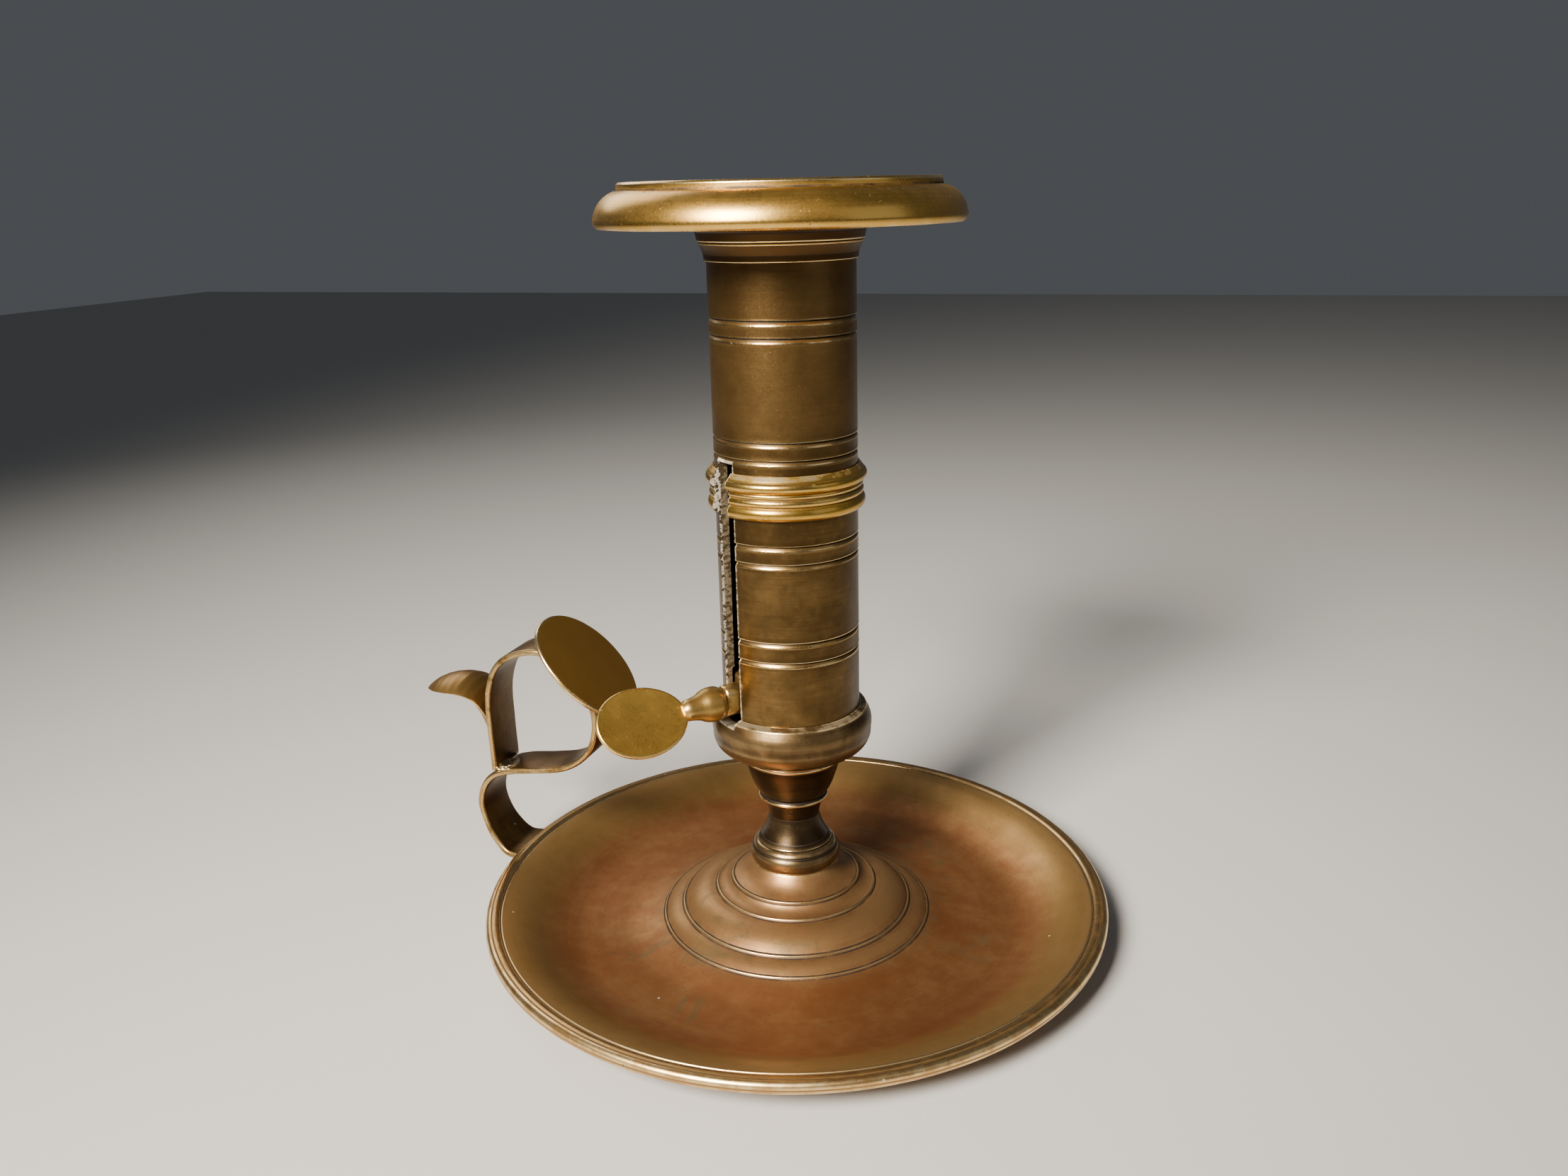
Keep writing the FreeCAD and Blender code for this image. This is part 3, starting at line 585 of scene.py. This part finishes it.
# ---------------------------------------------------------------- stem and cup
stem_line = outline([
    (0.0, 6.2, 0, 0), (3.0, 6.2), (3.5, 6.7), (3.5, DOME_TOP), (8.0, DOME_TOP, -0.75),
    (8.2, 17.6, -0.12), (7.45, 18.6), (7.1, 18.75), (7.35, 19.0), (6.6, 19.75, 0.22),
    (4.88, 24.2, 0.1), (5.65, 27.1), (5.85, 27.65), (6.5, 27.8, -0.2), (6.6, 28.5),
    (6.3, 28.75, -0.2), (8.1, 32.2, -0.06), (9.15, 35.9), (9.55, 36.2, -0.15), (9.55, CUP_LOW),
    (TENON_R, CUP_LOW), (TENON_R, 42.4), (0.0, 42.4, 0, 0)], soft=0.13)
finish_mesh("baluster_turned", turned_mesh(stem_line, 192), "candlestick", STEM,
            ["baluster_stem"], wobble=0.03)
cup_line = outline([
    (TENON_R, CUP_LOW), (9.9, CUP_LOW), (10.0, 37.9), (13.0, 38.8, -0.75, 0),
    (15.15, 42.5, -0.4, 0), (14.6, SLOT_LOW, 0, 0), (14.3, 46.85), (13.2, 47.4),
    (COLUMN_R, 47.4), (COLUMN_R, SLOT_LOW, 0, 0), (COLUMN_R, CUP_FLOOR), (TENON_R, CUP_FLOOR)],
    soft=0.14)
finish_mesh("socket_cup_turned", nicked_mesh(cup_line, SLOT_HALF, SLOT_LOW), "candlestick",
            CUP, ["socket_cup"], TO_SLOT, wobble=0.03)

# ---------------------------------------------------------------- column tube


def column_mesh():
    """The tube as one skin with the slot left open towards +X."""
    heights = {CUP_FLOOR, SLOT_LOW, SLOT_HIGH, 55.8, 56.5, COLUMN_TOP - MOUTH_FLARE, COLUMN_TOP}
    step = CUP_FLOOR
    while step < COLUMN_TOP:
        heights.add(round(step, 2))
        step += 0.4 if SLOT_LOW - 1 < step < SLOT_HIGH + 1 else 1.0
    groove = ((-0.8, 0.0), (-0.62, 0.01), (-0.45, -0.04), (-0.3, -0.12), (-0.1, -0.24),
              (0.06, -0.36), (0.16, -0.4), (0.24, -0.34), (0.3, -0.1), (0.34, 0.02), (0.42, 0.03),
              (0.55, 0.0))
    for line_z in LINE_HEIGHTS:
        heights |= {round(line_z + dz, 3) for dz, _ in groove}
    heights = sorted(heights)

    def outside(z):
        for line_z in LINE_HEIGHTS:
            if groove[0][0] <= z - line_z <= groove[-1][0]:
                for (z0, d0), (z1, d1) in zip(groove, groove[1:]):
                    if z0 <= z - line_z <= z1:
                        return COLUMN_R - 0.02 + d0 + (d1 - d0) * (z - line_z - z0) / (z1 - z0)
        return COLUMN_R - 0.02

    def inside(z):
        if z > COLUMN_TOP - MOUTH_FLARE - 0.01:
            return BORE_R + MOUTH_FLARE - (COLUMN_TOP - z)
        return PARKING_R if z < PARKING_TOP else BORE_R

    around = 224
    mesh = bmesh.new()
    outer, inner = ([slotted_ring(mesh, radius_at(z), z, SLOT_HALF, around) for z in heights]
                    for radius_at in (outside, inside))
    columns = around + 3
    open_columns = (around, around + 1, around + 2)
    lips = []
    for i in range(len(heights) - 1):
        in_slot = SLOT_LOW - 1e-6 <= heights[i] and heights[i + 1] <= SLOT_HIGH + 1e-6
        for j in range(columns):
            if in_slot and j in open_columns:
                continue
            k = (j + 1) % columns
            mesh.faces.new((outer[i][j], outer[i][k], outer[i + 1][k], outer[i + 1][j]))
            mesh.faces.new((inner[i][k], inner[i][j], inner[i + 1][j], inner[i + 1][k]))
        if in_slot:
            for j in (0, around):
                lips.append(mesh.faces.new(
                    (outer[i][j], inner[i][j], inner[i + 1][j], outer[i + 1][j])))
    for i in (heights.index(SLOT_LOW), heights.index(SLOT_HIGH)):
        for j in open_columns:
            k = (j + 1) % columns
            mesh.faces.new((outer[i][j], outer[i][k], inner[i][k], inner[i][j]))
    for i in (0, len(heights) - 1):
        for j in range(columns):
            k = (j + 1) % columns
            mesh.faces.new((outer[i][j], outer[i][k], inner[i][k], inner[i][j]))
    rough_lips({vertex for face in lips for vertex in face.verts})
    return mesh


def rough_lips(vertices):
    """File marks on both lips of the slot, and a burr that is stronger on one of them."""
    for vertex in vertices:
        side = 1 if vertex.co.y > 0 else -1
        ragged = noise.noise(Vector((vertex.co.z * 1.1, side * 5.0, vertex.co.x * 0.2)))
        vertex.co.y += side * (0.04 + 0.09 * abs(ragged))
        if vertex.co.x > (COLUMN_R + BORE_R) / 2:
            burr = max(0.0, noise.noise(Vector((vertex.co.z * 1.5, side * 9.0, 4.0))) + 0.35)
            vertex.co.x += burr * (0.32 if side < 0 else 0.08)


finish_mesh("column_turned", column_mesh(), "candlestick", COLUMN,
            ["column_tube"], TO_SLOT, wobble=0.018)

# ---------------------------------------------------------------- middle band
band_line = outline([
    (COLUMN_R, BAND_LOW), (13.9, BAND_LOW, -0.45), (13.9, 88.35), (13.75, 88.55, -0.3),
    (13.75, 89.8), (13.7, 90.0, -0.25), (13.7, 90.9), (14.2, 91.1, -0.45), (14.2, 92.85),
    (13.35, BAND_HIGH), (COLUMN_R, BAND_HIGH)], soft=0.12)
finish_mesh("mid_band_turned", turned_mesh(band_line, 224, gap=SLOT_HALF + 0.1), "candlestick",
            BAND, ["mid_band"], TO_SLOT, wobble=0.02)

# ---------------------------------------------------------------- nozzle flange
flange_line = outline([
    (COLUMN_R, 129.55), (13.35, 129.55), (13.45, 130.6, 0.08), (14.3, 132.45), (14.15, 132.7),
    (14.45, 132.85), (14.75, 134.3, 0.15), (16.2, 135.4), (30.6, 135.3), (31.2, 135.25, -0.25, 0),
    (31.85, 136.8, -0.85, 0), (28.0, 141.3), (27.75, 141.22), (27.65, 141.5),
    (27.6, 142.3), (27.25, FLANGE_TOP), (26.6, FLANGE_TOP), (26.0, 141.4, 0.25),
    (15.0, 139.8), (COLUMN_R, 139.8)], soft=0.13)
finish_mesh("nozzle_flange_turned", turned_mesh(flange_line, 288), "candlestick",
            BRIGHT, ["nozzle_flange"], wobble=0.03)

# ---------------------------------------------------------------- ejector lever
lever_turn = Matrix.Translation((0, 0, LEVER_Z)) @ TO_SLOT
pin_line = outline([
    (0.0, 7.4, 0, 0), (1.2, 7.4), (1.6, 7.9), (1.6, 14.6), (2.35, 14.6), (2.35, 15.4, -0.3, 0.05),
    (3.25, 17.3, -0.25, 0), (2.5, 20.1, 0.1, 0), (1.95, PADDLE_START, 0, 0), (1.2, 23.7),
    (0.0, 23.9, 0, 0)], soft=0.12)
pin = turned_mesh(pin_line, 72)
pin.transform(Matrix.Rotation(math.radians(90), 4, "Y"))
# distance from the axis, and how far the block's edges are eased there
block_steps = ((11.3, 0.25), (11.5, 0.05), (11.7, 0.0), (14.7, 0.0), (14.95, 0.05), (15.15, 0.22))


def block_section(i):
    reach, eased = block_steps[i]
    return [Vector((reach, across, up))
            for across, up in rounded_bar(2.03 - eased, 2.85 - eased, 1.55, 7)]


block = swept_mesh(block_steps, block_section)
block_data = bpy.data.meshes.new("lever_block")
block.to_mesh(block_data)
block.free()
pin.from_mesh(block_data)
bpy.data.meshes.remove(block_data)
finish_mesh("ejector_pin_turned", pin, "ejector", SHANK, ["ejector_pin"],
            lever_turn, wobble=0.02)

along = Vector((math.cos(SLOT_ANGLE), math.sin(SLOT_ANGLE), 0))
side = Vector((-math.sin(SLOT_ANGLE), math.cos(SLOT_ANGLE), 0))
face_way = side * math.cos(PADDLE_TILT) + Vector((0, 0, 1)) * math.sin(PADDLE_TILT)


def paddle_edge(angle):
    return Vector(((PADDLE_HALF - 0.02) * math.cos(angle),
                   6.68 * math.sin(angle) * (1 + 0.05 * math.cos(angle))))


paddle = plate_mesh(paddle_edge, 0.98, 0.44, crown=-0.3)
finish_mesh("thumb_paddle_cast", paddle, "ejector", LEVER, ["thumb_paddle"],
            axes(along, face_way.cross(along), face_way,
                 along * (PADDLE_START + PADDLE_HALF) + Vector((0, 0, LEVER_Z))), wobble=0.05)

# ---------------------------------------------------------------- handle
foot_to_belly = ((59.5, 7.45), (63.0, 7.9), (BELLY_REACH - 2.5, 10.9), (BELLY_REACH - 0.8, 14.4),
                 (BELLY_REACH, 18.4), (BELLY_REACH - 1.1, 22.3), (BELLY_REACH - 3.6, 25.1))
lower_bar = ((60.5, RING_LOW - 1.0), (54.0, RING_LOW), (48.6, RING_LOW + 1.1))
ring_front = ((RING_FRONT + 4.3, RING_LOW + 3.2), (RING_FRONT + 1.5, RING_LOW + 6.2),
              (RING_FRONT + 0.2, RING_LOW + 9.8), (RING_FRONT, 41.2),
              (RING_FRONT + 1.1, 45.6), (RING_FRONT + 3.7, 49.4))
ring_top = ((47.5, RING_HIGH - 1.2), (51.2, RING_HIGH), (55.0, RING_HIGH - 0.2))
ring_back = ((RING_BACK - 5.1, RING_HIGH - 1.9), (RING_BACK - 2.2, RING_HIGH - 4.8),
             (RING_BACK - 0.6, RING_HIGH - 8.8), (RING_BACK, RING_HIGH - 13.0),
             (RING_BACK, 35.0), (RING_BACK - 0.1, 29.0), (RING_BACK - 0.1, 26.6))
strap_path = smooth_path([Vector((-reach, 0, height)) for reach, height in
                          foot_to_belly + lower_bar + ring_front + ring_top + ring_back])


def strap_section(i):
    """The strip's rounded section, flared where it is fixed to the pan."""
    here = strap_path[i]
    before, after = strap_path[max(0, i - 1)], strap_path[min(len(strap_path) - 1, i + 1)]
    way = (after - before).normalized()
    up = Vector((-way.z, 0, way.x))
    thick = STRAP_T / 2 * (1 + 0.06 * noise.noise(here * 0.13))
    wide = STRAP_HALF * (1 - 0.02 * abs(noise.noise(here * 0.09)))
    flare = max(0.0, 1 - i / 26) ** 1.6
    return [here + Vector((0, across, 0)) + up * rise
            for across, rise in rounded_bar(wide + 1.2 * flare, thick * (1 + 0.2 * flare), 0.56)]


finish_mesh("handle_strap_bent", swept_mesh(strap_path, strap_section), "candlestick",
            HANDLE, ["handle_strap"], wobble=0.06)


def plate_edge(angle):
    long, wide = math.cos(angle), math.sin(angle)
    if long > 0 and wide > 0:
        long, wide = long ** 0.87, wide ** 0.87
    return Vector((12.78 * long, 11.28 * wide))


uphill = Vector((-math.cos(PLATE_SLOPE), 0, math.sin(PLATE_SLOPE)))
level = Vector((0, -1, 0))
finish_mesh("thumb_plate_cut", plate_mesh(plate_edge, 0.93, 0.42, crown=0.25), "candlestick",
            PLATE, ["thumb_plate"],
            axes(uphill, level, uphill.cross(level), PLATE_CENTRE), wobble=0.06)

# stations along the finger rest: reach, crest height, half width, crown, thickness
LEAF = ((64.7, 38.0, 4.7, 0.2, 9.0), (65.5, 39.9, 4.9, 0.4, 7.6), (66.3, 41.6, 5.1, 0.8, 5.2),
        (67.6, 43.6, 5.6, 1.3, 2.9), (69.2, 44.9, 6.1, 1.8, 1.8), (71.0, 45.6, 6.45, 2.1, 1.3),
        (73.0, 45.75, 6.5, 2.2, 1.1), (75.0, 45.5, 6.1, 2.1, 1.0), (76.8, 44.95, 5.3, 1.8, 0.95),
        (78.4, 44.2, 4.1, 1.3, 0.9), (79.7, 43.3, 2.8, 0.8, 0.85), (80.5, 42.6, 1.6, 0.4, 0.7),
        (80.85, 42.15, 0.5, 0.1, 0.5))


LEAF_RINGS = 60


def leaf_section(i):
    """A crowned top over an underside that thins towards the edges."""
    t = i / (LEAF_RINGS - 1) * (len(LEAF) - 1)
    low = min(int(t), len(LEAF) - 2)
    share = t - low
    share = share * share * (3 - 2 * share) * 0.25 + share * 0.75
    reach, crest, half, crown, thick = (
        a + (b - a) * share for a, b in zip(LEAF[low], LEAF[low + 1]))
    section = []
    for k in range(21):
        across = -math.cos(math.pi * k / 20)
        section.append((across, 0.0))
    for k in range(1, 20):
        across = math.cos(math.pi * k / 20)
        section.append((across, -thick * (1 - abs(across) ** 3) - 0.1))
    return [Vector((-reach, half * across, crest - crown * across ** 2 + drop))
            for across, drop in section]


finish_mesh("finger_leaf_cast", swept_mesh(range(LEAF_RINGS), leaf_section), "candlestick",
            LEAF_BRASS, ["finger_leaf"], wobble=0.08)

# solder run round the foot of the strap's free end
joint_lump = bmesh.new()
bmesh.ops.create_icosphere(joint_lump, subdivisions=5, radius=1.0)
lump_centre, lump_size = Vector((-62.4, -2.3, 27.1)), (2.7, 2.7, 0.8)
for vertex in joint_lump.verts:
    lump = vertex.co.copy()
    swell = 1 + 0.16 * noise.noise(lump * 1.7) + 0.07 * noise.noise(lump * 5.0)
    vertex.co = lump_centre + Vector([swell * a * b for a, b in zip(lump_size, lump)])
    vertex.co.z += 0.3 * lump.x
finish_mesh("strap_solder", joint_lump, "candlestick", SOLDER, wobble=0.1)

# ---------------------------------------------------------------- carried-over CAD pieces
for node in ("stem_washer", "stem_nut", "ejector_piston"):
    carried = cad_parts[node]
    carried.data.materials.clear()
    carried.data.materials.append(FIXING)

# ---------------------------------------------------------------- floor, light and camera
floor_data = bpy.data.meshes.new("floor")
floor_mesh = bmesh.new()
bmesh.ops.create_grid(floor_mesh, x_segments=2, y_segments=2, size=1.5)
floor_mesh.to_mesh(floor_data)
floor_mesh.free()
floor = bpy.data.objects.new("floor", floor_data)
bpy.context.scene.collection.objects.link(floor)
paint = Shader("pale_floor")
paint_surface = paint.add("ShaderNodeBsdfPrincipled", {"Base Color": (0.50, 0.487, 0.465, 1),
                                                       "Roughness": 0.8})
paint_out = paint.add("ShaderNodeOutputMaterial")
paint.tree.links.new(paint_surface.outputs[0], paint_out.inputs[0])
floor_data.materials.append(paint.material)

world = bpy.data.worlds.new("studio")
bpy.context.scene.world = world
world.use_nodes = True
world.node_tree.nodes["Background"].inputs[0].default_value = (0.62, 0.66, 0.72, 1)
world.node_tree.nodes["Background"].inputs[1].default_value = 0.12

VIEW = math.radians(18.9)
CAMERA_BACK, CAMERA_UP = 0.2276, 0.1414
right = Vector((math.cos(VIEW), math.sin(VIEW), 0))
ahead = Vector((-math.sin(VIEW), math.cos(VIEW), 0))


def soft_light(name, across, back, up, size, power, colour, spread=180):
    """A square soft box aimed at the stem: across and back are seen from the camera."""
    data = bpy.data.lights.new(name, "AREA")
    data.shape = "SQUARE"
    data.size, data.energy, data.color = size, power, colour
    data.spread = math.radians(spread)
    lamp = bpy.data.objects.new(name, data)
    lamp.location = right * across + ahead * back + Vector((0, 0, up))
    aim = Vector((0, 0, 0.06)) - lamp.location
    lamp.rotation_euler = aim.to_track_quat("-Z", "Y").to_euler()
    bpy.context.scene.collection.objects.link(lamp)


soft_light("key", -0.30, -0.46, 0.44, 0.22, 3.1, (1.0, 0.93, 0.82), 70)
soft_light("fill", 0.55, -0.35, 0.35, 0.5, 0.3, (0.92, 0.95, 1.0))
soft_light("rim", -0.35, 0.50, 0.50, 0.4, 0.4, (1.0, 0.95, 0.88), 90)

camera_data = bpy.data.cameras.new("camera")
camera_data.sensor_width = 36.0
camera_data.lens = 29.4
camera_data.clip_start, camera_data.clip_end = 0.01, 20
camera = bpy.data.objects.new("camera", camera_data)
down, pan_turn, roll = math.radians(17.41), math.radians(-0.23), math.radians(-1.41)
look = (ahead * math.cos(pan_turn) + right * math.sin(pan_turn)) * math.cos(down)
look = look - Vector((0, 0, math.sin(down)))
flat_right = right * math.cos(pan_turn) - ahead * math.sin(pan_turn)
flat_up = flat_right.cross(look)
camera_right = flat_right * math.cos(roll) + flat_up * math.sin(roll)
camera_up = flat_up * math.cos(roll) - flat_right * math.sin(roll)
camera.matrix_world = axes(camera_right, camera_up, -look,
                           ahead * -CAMERA_BACK + Vector((0, 0, CAMERA_UP)))
bpy.context.scene.collection.objects.link(camera)
bpy.context.scene.camera = camera
